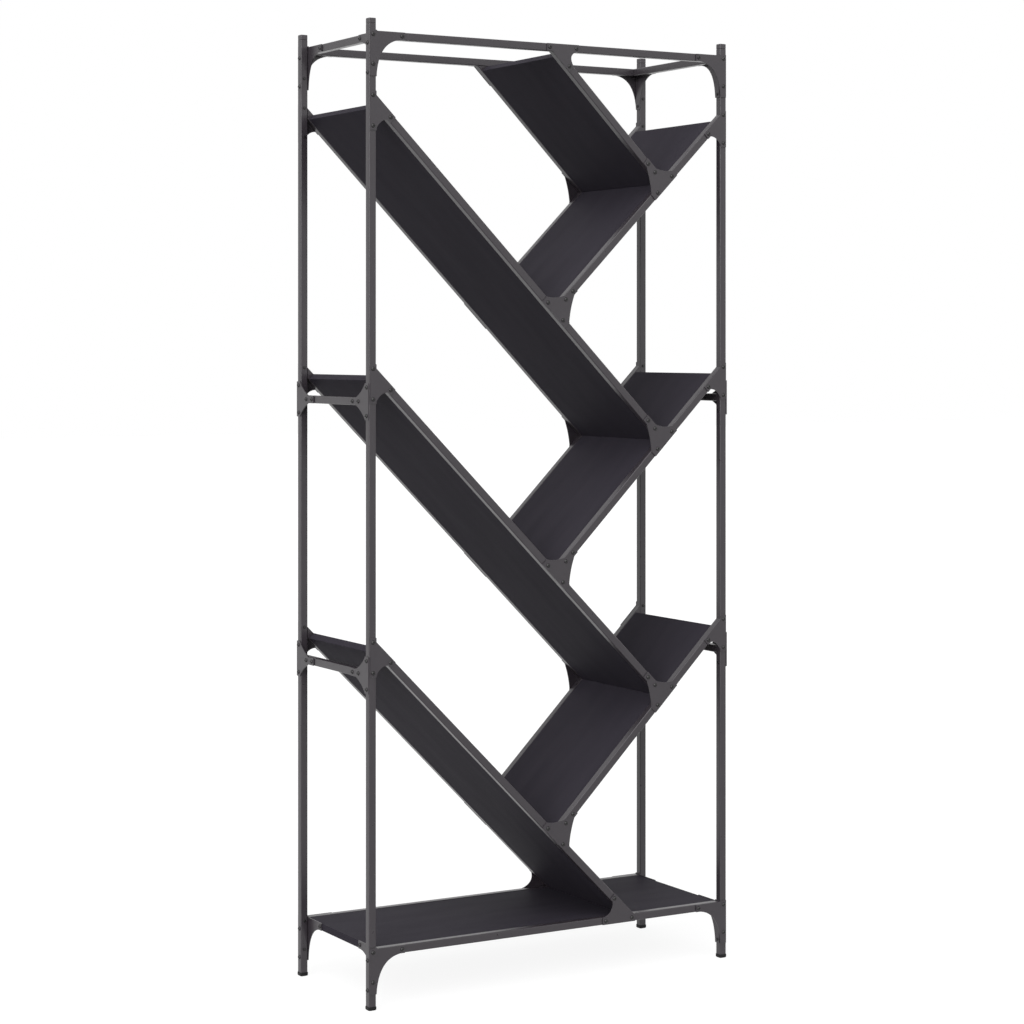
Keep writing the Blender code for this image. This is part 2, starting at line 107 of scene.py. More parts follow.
# Plates where one sloping rail ends on another
cross_stem = 0.070
cross_stem_bolt = 0.036
cross_tip_bolt = 0.061
cross_bar_bolt = 0.026
cross_low_stem = 0.058
cross_low_bar = 0.040
cross_low_share = 0.15
cross_high_stem = 0.040
cross_high_bar = 0.036
cross_high_share = 0.28

# Plate where the first falling rail hangs from the top rail
hang_left = 0.0175
hang_right = 0.0615
hang_left_bolt = 0.0105
hang_right_bolt = 0.0555
hang_stem = 0.062
hang_stem_bolt = 0.054
hang_web_bar = 0.0535
hang_web_stem = 0.059
hang_web_share = 0.5

# Plate where the last falling rail stands on the bottom rail
stand_left = 0.0755
stand_right = 0.0065
stand_left_bolt = 0.0675
stand_near_bolt = 0.0015
stand_stem = 0.072
stand_stem_bolt = 0.065
stand_web_bar = 0.0735
stand_web_stem = 0.0647
stand_web_share = 0.385

# Post bolts of the corner plates of the two sides, below the rail
side_bolt_drop = 0.016
side_bolt_fall = 0.0765

# Plates of the side rails below a level
tee_stem = 0.073
tee_stem_bolt = 0.037
tee_tip_bolt = 0.064
tee_bar_bolt = 0.029
tee_web_stem = 0.048
tee_web_bar = 0.036
tee_web_share = 0.28

# Places worked out from the sizes above
half_tube = tube / 2
post_x = (frame_width - tube) / 2
post_y = (frame_depth - tube) / 2
inner_x = post_x - half_tube
rail_end_x = inner_x - plate - 2 * fit_gap
top_z = frame_height - top_rail_drop
bottom_z = bottom_rail_height
first_level = top_z - first_level_drop
last_level = bottom_z + last_level_rise
pitch = (first_level - last_level) / (level_count - 1)
levels = [first_level - pitch * step for step in range(level_count)]
falling_levels = [first_level + pitch] + levels
side_levels = [level - side_rail_drop for level in levels[1:]]
board_top = bottom_z - half_tube + board_thickness

# How far a bolt reaches behind the face that its plate lies on. On an outer
# face only a bolt that goes through a tube shows its nut
in_wall = wall + bolt_tail
through_tube = tube + bolt_end
in_board = tube + board_bite

# A flat drawing's own axes and its depth, laid in the world
front_view = Matrix(((1, 0, 0), (0, 0, 1), (0, 1, 0)))
side_view = Matrix(((0, 0, 1), (1, 0, 0), (0, 1, 0)))

right = Vector((1, 0))
up = Vector((0, 1))
falling = Vector((post_x, -shelf_fall)).normalized()
rising = Vector((post_x, shelf_fall)).normalized()


# Lines in a flat drawing are a point and a direction
def side_of(direction):
    return Vector((-direction.y, direction.x))


def offset(line, distance):
    point, direction = line
    return point + side_of(direction) * distance, direction


def crossing(line, other):
    point, direction = line
    target, heading = other
    along = (target - point).cross(heading) / direction.cross(heading)
    return point + direction * along


def level_line(height):
    return Vector((0, height)), right


def upright_line(place):
    return Vector((place, 0)), up


def falling_line(level):
    return Vector((-post_x, level)), falling


def rising_line(level):
    return Vector((post_x, level)), rising


def square_cut(line, point):
    return point, side_of(line[1])


def strip(line, half, start, end):
    """Corners of a bar along a line: start and end, first above, then below."""
    upper = offset(line, half)
    lower = offset(line, -half)
    return [(crossing(upper, cut), crossing(lower, cut)) for cut in (start, end)]


def web(start, end, corner, share):
    """Hollow edge of a plate, drawn from the straight line towards the corner."""
    pull = start.lerp(end, middle_share).lerp(corner, share)
    shares = [step / web_steps for step in range(web_steps + 1)]
    return [start.lerp(pull, share).lerp(pull.lerp(end, share), share) for share in shares]


# A plate's drawing is its outline, its bolts in a post and its bolts in rails,
# and a bolt is a point and a reach
def mirrored(drawing):
    outline, post_bolts, rail_bolts = drawing
    flip = Vector((-1, 1))
    turned = [[(point * flip, reach) for point, reach in bolts] for bolts in (post_bolts, rail_bolts)]
    return [point * flip for point in outline], *turned


def both_hands(drawing):
    return [drawing, mirrored(drawing)]


def corner_plate(width, rail_z, post_bolts, rail_reach):
    """post_bolts gives each bolt's height over the rail's centre line and its reach."""
    outer = -width / 2
    inner = outer + tube
    upper = rail_z + half_tube
    lower = rail_z - half_tube
    arc_start = Vector((outer + corner_web_arm, lower))
    arc_end = Vector((inner, lower - corner_web_leg))
    outline = [
        Vector((outer + plate_inset, rail_z - corner_leg)),
        Vector((outer + plate_inset, upper + plate_step)),
        Vector((inner, upper + plate_step)),
        Vector((inner + plate_step, upper)),
        Vector((outer + corner_arm, upper)),
        Vector((outer + corner_arm, lower)),
        *web(arc_start, arc_end, Vector((inner, lower)), corner_web_share),
        Vector((inner, rail_z - corner_leg)),
    ]
    posts = [(Vector((outer + half_tube, rail_z + rise)), reach) for rise, reach in post_bolts]
    return outline, posts, [(Vector((outer + corner_rail_bolt, rail_z)), rail_reach)]


def front_corner_plate(rail_z, high_reach, rail_reach):
    post_bolts = ((corner_bolt_rise, high_reach), (-corner_bolt_fall, through_tube))
    return corner_plate(frame_width, rail_z, post_bolts, rail_reach)


def side_corner_plate(rail_z, rail_reach):
    post_bolts = ((-side_bolt_drop, bolt_end), (-side_bolt_fall, bolt_end))
    return corner_plate(frame_depth, rail_z, post_bolts, rail_reach)


def shelf_end_plate(level, low_reach):
    line = falling_line(level)
    outer = -frame_width / 2
    inner = outer + tube
    rise = side_of(falling) * half_tube
    inner_edge = upright_line(inner)
    shoulder = crossing(offset(line, half_tube), inner_edge)
    corner = crossing(offset(line, -half_tube), inner_edge)
    tip = line[0] + falling * end_arm
    outline = [
        Vector((outer + plate_inset, level - end_fall)),
        Vector((outer + plate_inset, level + end_rise)),
        Vector((inner, level + end_rise)),
        shoulder,
        tip + rise,
        tip - rise,
        *web(corner + falling * end_web_arm, corner - up * end_web_leg, corner, end_web_share),
        Vector((inner, level - end_fall)),
    ]
    post_bolts = [
        (Vector((-post_x, level + end_bolt_rise)), through_tube),
        (Vector((-post_x, level - end_bolt_fall)), low_reach),
    ]
    return outline, post_bolts, [(line[0] + falling * end_rail_bolt, in_board)]


def towards(direction, aim):
    return direction if direction.dot(aim) > 0 else -direction


def tee_outline(node, bar, stem, stem_length, low, high):
    """Plate on a bar that runs through a node, with a stem that ends on the bar.

    bar points to the low side. low and high give each hollow edge: how far it
    runs along the stem and along the bar, and how deep it is drawn in.
    """
    near = towards(side_of(bar), stem) * half_tube
    beside = towards(side_of(stem), bar) * half_tube
    low_stem, low_bar, low_share = low
    high_stem, high_bar, high_share = high
    low_end = node + bar * (low_bar + web_margin)
    high_end = node - bar * (high_bar + web_margin)
    tip = node + stem * stem_length
    low_corner = crossing((node + near, bar), (node + beside, stem))
    high_corner = crossing((node + near, bar), (node - beside, stem))
    low_start = node + bar * low_bar + near
    low_stop = node + stem * low_stem + beside
    high_start = node + stem * high_stem - beside
    high_stop = node - bar * high_bar + near
    return [
        low_end - near,
        low_end + near,
        *web(low_start, low_stop, low_corner, low_share),
        tip + beside,
        tip - beside,
        *web(high_start, high_stop, high_corner, high_share),
        high_end + near,
        high_end - near,
    ]


def crossing_plate(node, bar, stem):
    low = (cross_low_stem, cross_low_bar, cross_low_share)
    high = (cross_high_stem, cross_high_bar, cross_high_share)
    bolts = [
        (node + stem * cross_stem_bolt, in_board),
        (node + stem * cross_tip_bolt, in_wall),
        (node + bar * cross_bar_bolt, in_wall),
        (node - bar * cross_bar_bolt, in_wall),
    ]
    return tee_outline(node, bar, stem, cross_stem, low, high), [], bolts


def hanging_plate():
    line = falling_line(falling_levels[0])
    node = crossing(line, level_line(top_z))
    rise = side_of(falling) * half_tube
    under = level_line(top_z - half_tube)
    arc_start = node + right * hang_web_bar - up * half_tube
    arc_end = node + falling * hang_web_stem + rise
    arc_corner = crossing(offset(line, half_tube), under)
    outline = [
        node - right * hang_left - up * half_tube,
        node - right * hang_left + up * half_tube,
        node + right * hang_right + up * half_tube,
        node + right * hang_right - up * half_tube,
        *web(arc_start, arc_end, arc_corner, hang_web_share),
        node + falling * hang_stem + rise,
        node + falling * hang_stem - rise,
        crossing(offset(line, -half_tube), under),
    ]
    bolts = [
        (node - right * hang_left_bolt, in_wall),
        (node + right * hang_right_bolt, in_wall),
        (node + falling * hang_stem_bolt, in_board),
    ]
    return outline, [], bolts


def standing_plate():
    line = falling_line(levels[-1])
    node = crossing(line, level_line(bottom_z))
    rise = side_of(falling) * half_tube
    over = level_line(bottom_z + half_tube)
    arc_start = node - right * stand_web_bar + up * half_tube
    arc_end = node - falling * stand_web_stem - rise
    arc_corner = crossing(offset(line, -half_tube), over)
    outline = [
        node - right * stand_left - up * half_tube,
        node - right * stand_left + up * half_tube,
        *web(arc_start, arc_end, arc_corner, stand_web_share),
        node - falling * stand_stem - rise,
        node - falling * stand_stem + rise,
        crossing(offset(line, half_tube), over),
        node + right * stand_right + up * half_tube,
        node + right * stand_right - up * half_tube,
    ]
    bolts = [
        (node - right * stand_left_bolt, in_wall),
        (node - right * stand_near_bolt, in_wall),
        (node - falling * stand_stem_bolt, in_board),
    ]
    return outline, [], bolts


def side_tee_plate(height):
    node = Vector((-post_y, height))
    edge = (tee_web_stem, tee_web_bar, tee_web_share)
    post_bolts = [
        (node + up * tee_bar_bolt, through_tube),
        (node - up * tee_bar_bolt, through_tube),
    ]
    rail_bolts = [
        (node + right * tee_stem_bolt, in_wall),
        (node + right * tee_tip_bolt, in_wall),
    ]
    return tee_outline(node, -up, right, tee_stem, edge, edge), post_bolts, rail_bolts


def front_rail_plates():
    """Plates at the posts in the front and the rear plane, by the rail that they hold."""
    plates = {
        "top_rail": both_hands(front_corner_plate(top_z, in_wall, in_wall)),
        "bottom_rail": both_hands(front_corner_plate(bottom_z, through_tube, in_board)),
    }
    for number, level in enumerate(levels, 1):
        meets_side_rail = level - side_rail_drop in side_levels
        low_reach = in_wall if meets_side_rail else through_tube
        drawing = shelf_end_plate(level, low_reach)
        plates[f"falling_rail_{number + 1}"] = [drawing]
        plates[f"rising_rail_{number}"] = [mirrored(drawing)]
    return plates


def joint_plates():
    """Plates between two rails in the front and the rear plane, by their own name."""
    plates = {"top_joint_plate": hanging_plate(), "bottom_joint_plate": standing_plate()}
    for number, (level, lower) in enumerate(zip(falling_levels, levels), 1):
        node = crossing(falling_line(level), rising_line(lower))
        plates[f"right_crossing_plate_{number}"] = crossing_plate(node, -rising, -falling)
    for number, level in enumerate(levels, 1):
        node = crossing(falling_line(level), rising_line(level))
        plates[f"middle_crossing_plate_{number}"] = crossing_plate(node, falling, rising)
    return plates


def all_drawings(plates):
    return [drawing for drawings in plates.values() for drawing in drawings]


def front_rails():
    """Name, centre line and two end cuts of each rail in the front and the rear plane."""
    left_post = upright_line(-inner_x + fit_gap)
    right_post = upright_line(inner_x - fit_gap)
    butt = half_tube + fit_gap
    starts = [level_line(top_z - butt)] + [left_post] * level_count
    ends = [offset(rising_line(level), butt) for level in levels] + [level_line(bottom_z + butt)]
    level_ends = upright_line(-rail_end_x), upright_line(rail_end_x)
    rails = [
        ("top_rail", level_line(top_z), *level_ends),
        ("bottom_rail", level_line(bottom_z), *level_ends),
    ]
    for number, (level, start, end) in enumerate(zip(falling_levels, starts, ends), 1):
        rails.append((f"falling_rail_{number}", falling_line(level), start, end))
    for number, level in enumerate(levels, 1):
        start = offset(falling_line(level), butt)
        rails.append((f"rising_rail_{number}", rising_line(level), start, right_post))
    return rails


# Finer sizes of the visible pieces
tube_round = 0.0019
bore_round = 0.0007
tube_round_steps = 4
plate_round = 0.00035
board_round = 0.0006
round_steps = 2
round_profile = 0.5
sharp_angle = radians(32)
round_angle = radians(40)
post_round = 0.0019
cap_skirt = 0.0105
cap_seam = 0.0005
cap_root = 0.006
cap_step = 0.0004
cap_shoulder = 0.0012
cap_rim_drop = 0.0005
cap_rim_inset = 0.0003
cap_top_inset = 0.0011
foot_round = 0.0026
most_round_share = 0.9
square_corners = 4
bolt_turns = 24
hex_turns = 6

# Turned shapes as radius and height over the face that they sit on
head_profile = (
    (0.0045, -0.0002),
    (0.0045, 0.0005),
    (0.00435, 0.00098),
    (0.0039, 0.00162),
    (0.0032, 0.0022),
    (0.0024, 0.00262),
    (0.0018, 0.00278),
)
socket_profile = ((0.00125, 0.00268), (0.00118, 0.0015))
tail_profile = (
    (0.0033, -0.0002),
    (0.0033, 0.0014),
    (0.0030, 0.0019),
    (0.0022, 0.0022),
)

# Foot as half width and height, from the floor up and into its pocket
foot_profile = (
    (0.0066, 0.0),
    (0.0077, 0.0004),
    (0.0086, 0.0013),
    (0.0090, 0.0026),
    (0.0090, 0.0073),
    (0.0087, 0.0079),
    (0.0084, 0.0080),
    (0.0082, 0.0077),
    (0.0082, 0.0030),
)


# Meshes
def new_object(name, bm):
    bmesh.ops.recalc_face_normals(bm, faces=bm.faces)
    mesh = bpy.data.meshes.new(name)
    bm.to_mesh(mesh)
    bm.free()
    thing = bpy.data.objects.new(name, mesh)
    bpy.context.scene.collection.objects.link(thing)
    return thing


def finish_piece(name, bm, material, slot, *nodes, axes=None):
    """Smooth the piece between its sharp edges and let it stand for its nodes."""
    piece = new_object(name, bm)
    for polygon in piece.data.polygons:
        polygon.use_smooth = True
    piece.data.set_sharp_from_angle(angle=sharp_angle)
    piece.data.materials.append(material)
    normals = piece.modifiers.new("normals", "WEIGHTED_NORMAL")
    normals.keep_sharp = True
    if axes:
        piece.matrix_world = axes
    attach(piece, "root")
    if nodes:
        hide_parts(*nodes)


def join_rings(bm, rings):
    for ring, other in zip(rings, rings[1:]):
        count = len(ring)
        for spot in range(count):
            following = (spot + 1) % count
            bm.faces.new((ring[spot], ring[following], other[following], other[spot]))


def round_edges(bm, width):
    edges = [edge for edge in bm.edges if edge.calc_face_angle(0) > round_angle]
    bmesh.ops.bevel(bm, geom=edges, offset=width, segments=round_steps, profile=round_profile, affect="EDGES")


def rounded_square(half, radius):
    """Points round a square with rounded corners."""
    points = []
    for quarter in range(square_corners):
        middle = Vector((half - radius, half - radius))
        for step in range(tube_round_steps + 1):
            angle = pi / 2 * step / tube_round_steps
            turn = Matrix.Rotation(pi / 2 * quarter, 2)
            point = middle + Matrix.Rotation(angle, 2) @ Vector((radius, 0))
            points.append(turn @ point)
    return points


def tube_ring(bm, view, line, cut, middle, profile):
    ring = []
    for across, deep in profile:
        place = crossing(offset(line, across), cut)
        ring.append(bm.verts.new(view @ Vector((*place, middle + deep))))
    return ring


def add_tube(bm, view, line, start, end, middle):
    """Hollow square tube with rounded corners between two cuts."""
    outer = rounded_square(half_tube, tube_round)
    inner = rounded_square(half_tube - wall, bore_round)
    rings = [
        tube_ring(bm, view, line, start, middle, outer),
        tube_ring(bm, view, line, end, middle, outer),
        tube_ring(bm, view, line, end, middle, inner),
        tube_ring(bm, view, line, start, middle, inner),
    ]
    join_rings(bm, rings + rings[:1])


def add_plate(bm, view, outline, back, outward):
    """Sheet with rounded edges, its back on a face of the frame."""
    sheet = bmesh.new()
    front = back + outward * plate
    rings = [
        [sheet.verts.new(view @ Vector((*point, depth))) for point in outline]
        for depth in (front, back)
    ]
    join_rings(sheet, rings)
    for ring in rings:
        sheet.faces.new(ring)
    bmesh.ops.recalc_face_normals(sheet, faces=sheet.faces)
    round_edges(sheet, plate_round)
    mesh = bpy.data.meshes.new("sheet")
    sheet.to_mesh(mesh)
    sheet.free()
    bm.from_mesh(mesh)
    bpy.data.meshes.remove(mesh)


def turned_ring(bm, view, point, base, outward, radius, height, sides=0):
    """Ring of vertices round a point. With sides it is a polygon's outline."""
    ring = []
    for step in range(bolt_turns):
        angle = tau * step / bolt_turns
        reach = radius
        if sides:
            sector = tau / sides
            reach = radius / cos(angle % sector - sector / 2)
        place = point + Matrix.Rotation(angle, 2) @ (right * reach)
        ring.append(bm.verts.new(view @ Vector((*place, base + outward * height))))
    return ring


def add_head(bm, view, point, base, outward):
    """Domed bolt head with a six-sided socket."""
    rings = [turned_ring(bm, view, point, base, outward, *step) for step in head_profile]
    rings += [turned_ring(bm, view, point, base, outward, *step, hex_turns) for step in socket_profile]
    join_rings(bm, rings)
    bm.faces.new(rings[0])
    bm.faces.new(rings[-1])


def add_tail(bm, view, point, base, outward):
    """Low round nut where a bolt comes out of a post."""
    rings = [turned_ring(bm, view, point, base, outward, *step) for step in tail_profile]
    join_rings(bm, rings)
    bm.faces.new(rings[0])
    bm.faces.new(rings[-1])


# Materials. A noise is its scale, its detail and its roughness
noise_low = 0.3
noise_high = 0.7
colour_sockets = (0, 6, 7)
coat_tone_noise = (22, 3, 0.5)
coat_gloss_noise = (60, 4, 0.6)
coat_grain_noise = (2, 0.6)
coat_depth = 0.0002
streak_stretch = (1, 5, 5)
streak_noise = (5, 4, 0.5)
pore_stretch = (1, 6, 6)
pore_noise = (160, 3, 0.6)
pore_depth = 0.0003
pore_strength = 0.35


def new_material(name):
    material = bpy.data.materials.new(name)
    material.use_nodes = True
    tree = material.node_tree
    return material, tree, tree.nodes["Principled BSDF"]


def noise(tree, coordinates, scale, detail, rough):
    node = tree.nodes.new("ShaderNodeTexNoise")
    node.inputs["Scale"].default_value = scale
    node.inputs["Detail"].default_value = detail
    node.inputs["Roughness"].default_value = rough
    tree.links.new(coordinates, node.inputs["Vector"])
    return node.outputs["Fac"]


def spread(tree, factor, low, high):
    """Map a noise's middle range onto two numbers."""
    node = tree.nodes.new("ShaderNodeMapRange")
    node.inputs["From Min"].default_value = noise_low
    node.inputs["From Max"].default_value = noise_high
    node.inputs["To Min"].default_value = low
    node.inputs["To Max"].default_value = high
    tree.links.new(factor, node.inputs["Value"])
    return node.outputs["Result"]


def blend_colours(tree, factor, low, high):
    node = tree.nodes.new("ShaderNodeMix")
    node.data_type = "RGBA"
    factor_socket, low_socket, high_socket = (node.inputs[spot] for spot in colour_sockets)
    low_socket.default_value = (*low, 1)
    high_socket.default_value = (*high, 1)
    tree.links.new(factor, factor_socket)
    return node.outputs[2]


def bump(tree, shader, height, distance, strength):
    node = tree.nodes.new("ShaderNodeBump")
    node.inputs["Distance"].default_value = distance
    node.inputs["Strength"].default_value = strength
    tree.links.new(height, node.inputs["Height"])
    tree.links.new(node.outputs["Normal"], shader.inputs["Normal"])


def place_of(tree, stretch=(1, 1, 1)):
    """Object coordinates in metres, stretched along an axis for a grain."""
    place = tree.nodes.new("ShaderNodeTexCoord")
    mapping = tree.nodes.new("ShaderNodeMapping")
    mapping.inputs["Scale"].default_value = stretch
    tree.links.new(place.outputs["Object"], mapping.inputs["Vector"])
    return mapping.outputs["Vector"]


def powder_coat(name, low, high, roughness, grain_scale, strength, specular):
    """Baked paint: a fine pebbled skin over slow changes of tone."""
    material, tree, shader = new_material(name)
    place = place_of(tree)
    slow = noise(tree, place, *coat_tone_noise)
    fine = noise(tree, place, grain_scale, *coat_grain_noise)
    tone = blend_colours(tree, spread(tree, slow, 0, 1), low, high)
    tree.links.new(tone, shader.inputs["Base Color"])
    rough = spread(tree, noise(tree, place, *coat_gloss_noise), *roughness)
    tree.links.new(rough, shader.inputs["Roughness"])
    shader.inputs["Specular IOR Level"].default_value = specular
    bump(tree, shader, fine, coat_depth, strength)
    return material


def wood_board(name):
    """Black satin board whose grain runs along it."""
    material, tree, shader = new_material(name)
    streaks = noise(tree, place_of(tree, streak_stretch), *streak_noise)
    pores = noise(tree, place_of(tree, pore_stretch), *pore_noise)
    tone = blend_colours(tree, spread(tree, streaks, 0, 1), board_dark, board_light)
    tree.links.new(tone, shader.inputs["Base Color"])
    tree.links.new(spread(tree, streaks, *board_roughness), shader.inputs["Roughness"])
    shader.inputs["Specular IOR Level"].default_value = board_specular
    bump(tree, shader, pores, pore_depth, pore_strength)
    return material


# Each finish has its tone and its roughness at the low and the high end of a
# noise. A skin is the scale and the strength of its grain, and its specular level
tube_tones = (0.0255, 0.0210, 0.0258), (0.0290, 0.0245, 0.0294)
tube_roughness = (0.27, 0.34)
plate_tones = (0.0245, 0.0202, 0.0250), (0.0280, 0.0236, 0.0285)
plate_roughness = (0.28, 0.36)
steel_skin = (900, 0.12, 0.5)
bolt_tones = (0.010, 0.009, 0.010), (0.013, 0.012, 0.013)
bolt_roughness = (0.22, 0.28)
bolt_skin = (1500, 0.05, 0.35)
foot_tones = (0.007, 0.007, 0.0075), (0.010, 0.010, 0.0105)
foot_roughness = (0.48, 0.6)
foot_skin = (1300, 0.3, 0.15)
board_dark = (0.0259, 0.0231, 0.0302)
board_light = (0.0287, 0.0256, 0.0333)
board_roughness = (0.66, 0.62)
board_specular = 0.035

tube_paint = powder_coat("tube_paint", *tube_tones, tube_roughness, *steel_skin)
plate_paint = powder_coat("plate_paint", *plate_tones, plate_roughness, *steel_skin)
bolt_finish = powder_coat("bolt_finish", *bolt_tones, bolt_roughness, *bolt_skin)
foot_plastic = powder_coat("foot_plastic", *foot_tones, foot_roughness, *foot_skin)
board_finish = wood_board("board_finish")


# Pieces
def make_posts():
    cap_low = frame_height - cap_skirt
    low = level_line(foot_floor + fit_gap)
    high = level_line(cap_low - cap_seam)
    for end, y in (("front", -post_y), ("rear", post_y)):
        for hand, x in (("left", -post_x), ("right", post_x)):
            bm = bmesh.new()
            add_tube(bm, front_view, upright_line(x), low, high, y)
            name = f"{end}_{hand}"
            finish_piece(f"pillar_{name}", bm, tube_paint, "steel_post", f"post_{name}")
            make_cap(f"cap_{name}", x, y, cap_low)
            make_foot(f"leveller_{name}", x, y, f"foot_{name}")


def stack(bm, x, y, profile, radius):
    rings = []
    for half, height in profile:
        ring = []
        corner = min(radius, half * most_round_share)
        for across, along in rounded_square(half, corner):
            ring.append(bm.verts.new((x + across, y + along, height)))
        rings.append(ring)
    join_rings(bm, rings)
    bm.faces.new(rings[0])
    bm.faces.new(rings[-1])


def make_cap(name, x, y, low):
    bore = half_tube - wall - fit_gap
    profile = (
        (bore, low - cap_root),
        (bore, low),
        (half_tube - cap_step, low),
        (half_tube, low + cap_step),
        (half_tube, frame_height - cap_shoulder),
        (half_tube - cap_rim_inset, frame_height - cap_rim_drop),
        (half_tube - cap_top_inset, frame_height),
    )
    bm = bmesh.new()
    stack(bm, x, y, profile, post_round)
    finish_piece(name, bm, tube_paint, "steel_post")


def make_foot(name, x, y, node):
    bm = bmesh.new()
    stack(bm, x, y, foot_profile, foot_round)
    finish_piece(name, bm, foot_plastic, "foot_plastic", node)


def make_rail(name, view, line, ends, middle, node):
    bm = bmesh.new()
    add_tube(bm, view, line, *ends, middle)
    finish_piece(name, bm, tube_paint, "steel_rail", node)


def make_plates(name, view, drawings, back, outward, node):
    bm = bmesh.new()
    for outline, *_ in drawings:
        add_plate(bm, view, outline, back, outward)
    finish_piece(name, bm, plate_paint, "steel_plate", node)


def add_bolts(bm, view, drawings, face, outward):
    """Heads on plates of an outer face, and nuts on the posts' inner faces."""
    front = face + outward * (fit_gap + plate)
    for _, post_bolts, rail_bolts in drawings:
        for point, reach in post_bolts + rail_bolts:
            add_head(bm, view, point, front, outward)
            if reach == through_tube:
                add_tail(bm, view, point, face - outward * tube, -outward)


def add_inner_bolts(bm, view, drawings, face, outward):
    """Heads on the posts' outer face, nuts behind plates of their inner face."""
    front = face - outward * fit_gap
    back = front - outward * plate
    for _, post_bolts, rail_bolts in drawings:
        for point, _ in post_bolts:
            add_head(bm, view, point, face + outward * tube, outward)
            add_tail(bm, view, point, back, -outward)
        for point, _ in rail_bolts:
            add_head(bm, view, point, front, outward)


def make_front_rails(plates, joints):
    for end, y, outward in (("front", -post_y, -1), ("rear", post_y, 1)):
        face = y + outward * half_tube
        back = face + outward * fit_gap
        bolts = bmesh.new()
        for name, line, *ends in front_rails():
            node = f"{name}_{end}"
            make_rail(f"tube_{node}", front_view, line, ends, y, node)
            if name in plates:
                make_plates(f"plates_{node}", front_view, plates[name], back, outward, node)
        for name, drawing in joints.items():
            node = f"{name}_{end}"
            make_plates(f"gusset_{node}", front_view, [drawing], back, outward, node)
        add_bolts(bolts, front_view, all_drawings(plates), face, outward)
        add_bolts(bolts, front_view, joints.values(), face, outward)
        finish_piece(f"bolts_{end}", bolts, bolt_finish, "steel_plate")


def make_side_rails(corners, tees, legs):
    ends = [upright_line(side * (post_y - half_tube - fit_gap)) for side in (-1, 1)]
    for hand, outward in (("left", -1), ("right", 1)):
        bolts = bmesh.new()
        inner = outward * inner_x
        plate_back = inner - outward * (fit_gap + plate)
        outer = outward * frame_width / 2
        middle = outward * (rail_end_x - half_tube)
        node = f"side_rail_top_{hand}"
        make_rail(f"tube_{node}", side_view, level_line(top_z), ends, middle, node)
        make_plates(f"plates_{node}", side_view, corners, plate_back, outward, node)
        add_inner_bolts(bolts, side_view, corners + legs, inner, outward)
        for place, height in zip(("upper", "lower"), side_levels):
            node = f"side_rail_{place}_{hand}"
            make_rail(f"tube_{node}", side_view, level_line(height), ends, outward * post_x, node)
            outer_back = outer + outward * fit_gap
            make_plates(f"plates_{node}", side_view, tees[height], outer_back, outward, node)
            add_bolts(bolts, side_view, tees[height], outer, outward)
        for end, drawing in zip(("front", "rear"), legs):
            node = f"side_leg_plate_{end}_{hand}"
            make_plates(f"gusset_{node}", side_view, [drawing], plate_back, outward, node)
        finish_piece(f"bolts_{hand}", bolts, bolt_finish, "steel_plate")


def make_board(name, line, start, end, node):
    """Board in its own axes: x along it, y to the back, z out of its upper face."""
    point, direction = line
    rise = side_of(direction)
    columns = front_view @ Vector((*direction, 0)), Vector((0, 1, 0)), front_view @ Vector((*rise, 0))
    axes = Matrix(columns).transposed().to_4x4()
    axes.translation = front_view @ Vector((*point, 0))
    bm = bmesh.new()
    half_depth = post_y - half_tube - fit_gap
    rings = []
    for upper, lower in strip(line, board_thickness / 2, start, end):
        ring = []
        for corner, side in ((upper, -1), (upper, 1), (lower, 1), (lower, -1)):
            away = corner - point
            ring.append(bm.verts.new((away.dot(direction), side * half_depth, away.dot(rise))))
        rings.append(ring)
    join_rings(bm, rings)
    for ring in rings:
        bm.faces.new(ring)
    bmesh.ops.recalc_face_normals(bm, faces=bm.faces)
    round_edges(bm, board_round)
    finish_piece(name, bm, board_finish, "shelf_board", node, axes=axes)


def make_boards():
    butt = board_thickness / 2 + fit_gap
    left_end = upright_line(-inner_x + board_setback)
    right_end = upright_line(inner_x - board_setback)
    under_top_rail = level_line(top_z - half_tube - first_board_drop)
    limits = [under_top_rail] + [left_end] * level_count
    on_bottom_board = level_line(board_top + fit_gap)
    ends = [offset(rising_line(level), butt) for level in levels] + [on_bottom_board]
    for number, (level, limit, end) in enumerate(zip(falling_levels, limits, ends), 1):
        line = falling_line(level)
        start = square_cut(line, crossing(line, limit))
        make_board(f"panel_falling_{number}", line, start, end, f"falling_board_{number}")
    for number, level in enumerate(levels, 1):
        line = rising_line(level)
        start = offset(falling_line(level), butt)
        end = square_cut(line, crossing(line, right_end))
        make_board(f"panel_rising_{number}", line, start, end, f"rising_board_{number}")
    middle = level_line(board_top - board_thickness / 2)
    ends = upright_line(-rail_end_x), upright_line(rail_end_x)
    make_board("panel_bottom", middle, *ends, "bottom_board")


# Camera, lights and floor
camera_place = (-2.718294, -4.643377, 1.344323)
camera_turn = (radians(90), 0, -0.52843)
camera_lens = 87.179
camera_shift = -0.16157
world_light = 0.35
floor_half = 30
floor_cuts = 8
floor_noise = (30, 3, 0.5)
floor_tones = (0.158, 0.158, 0.158), (0.162, 0.162, 0.162)
floor_roughness = 0.9
floor_specular = 0.1
floor_lift = 0.88


def make_camera():
    camera = bpy.data.objects.new("camera", bpy.data.cameras.new("camera"))
    bpy.context.scene.collection.objects.link(camera)
    camera.location = camera_place
    camera.rotation_euler = camera_turn
    camera.data.lens = camera_lens
    camera.data.shift_y = camera_shift
    bpy.context.scene.camera = camera


